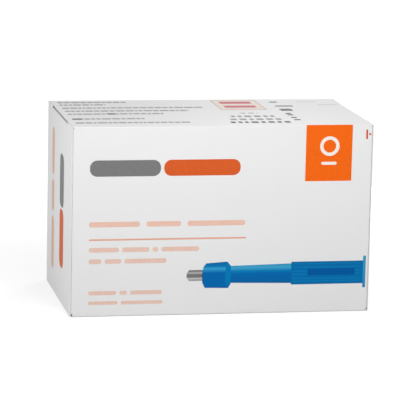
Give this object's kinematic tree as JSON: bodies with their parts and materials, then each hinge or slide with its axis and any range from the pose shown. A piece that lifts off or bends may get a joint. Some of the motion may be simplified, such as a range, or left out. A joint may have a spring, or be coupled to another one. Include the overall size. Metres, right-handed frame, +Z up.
{
  "type": "folding carton of biopsy punches",
  "caption": "Closed folding carton of white coated board with a tuck-in flap at each end, filled with biopsy punches in sealed blister packs.",
  "frame": {"origin": "centre of the face that the carton stands on", "axes": "+X along the carton to its right end, -Y out of the printed front panel, +Z up"},
  "size_m": [0.15, 0.086, 0.094],
  "materials": {
    "coated_board": "matt coated white outside, uncoated inside",
    "clear_plastic": "clear, formed from sheet",
    "lid_paper": "white, uncoated",
    "blue_plastic": "moulded, satin",
    "steel": "ground tube"
  },
  "bodies": {
    "carton": {"carton_sleeve": "coated_board", "blister_tray_01": "clear_plastic", "lid_paper_01": "lid_paper", "punch_handle_01": "blue_plastic", "punch_blade_01": "steel", "blister_tray_02": "clear_plastic", "lid_paper_02": "lid_paper", "punch_handle_02": "blue_plastic", "punch_blade_02": "steel", "blister_tray_03": "clear_plastic", "lid_paper_03": "lid_paper", "punch_handle_03": "blue_plastic", "punch_blade_03": "steel", "blister_tray_04": "clear_plastic", "lid_paper_04": "lid_paper", "punch_handle_04": "blue_plastic", "punch_blade_04": "steel", "blister_tray_05": "clear_plastic", "lid_paper_05": "lid_paper", "punch_handle_05": "blue_plastic", "punch_blade_05": "steel", "blister_tray_06": "clear_plastic", "lid_paper_06": "lid_paper", "punch_handle_06": "blue_plastic", "punch_blade_06": "steel", "blister_tray_07": "clear_plastic", "lid_paper_07": "lid_paper", "punch_handle_07": "blue_plastic", "punch_blade_07": "steel", "blister_tray_08": "clear_plastic", "lid_paper_08": "lid_paper", "punch_handle_08": "blue_plastic", "punch_blade_08": "steel", "blister_tray_09": "clear_plastic", "lid_paper_09": "lid_paper", "punch_handle_09": "blue_plastic", "punch_blade_09": "steel", "blister_tray_10": "clear_plastic", "lid_paper_10": "lid_paper", "punch_handle_10": "blue_plastic", "punch_blade_10": "steel"},
    "left_flap": {"left_end_flap": "coated_board"},
    "right_flap": {"right_end_flap": "coated_board"}
  },
  "joints": [
    {"name": "left_flap_hinge", "type": "hinge", "parent": "carton", "child": "left_flap", "pos_m": [-0.07478, 0, 0.00025], "axis": [0, -1, 0], "range_deg": [0, 90]},
    {"name": "right_flap_hinge", "type": "hinge", "parent": "carton", "child": "right_flap", "pos_m": [0.07478, 0, 0.00025], "axis": [0, 1, 0], "range_deg": [0, 90]}
  ]
}
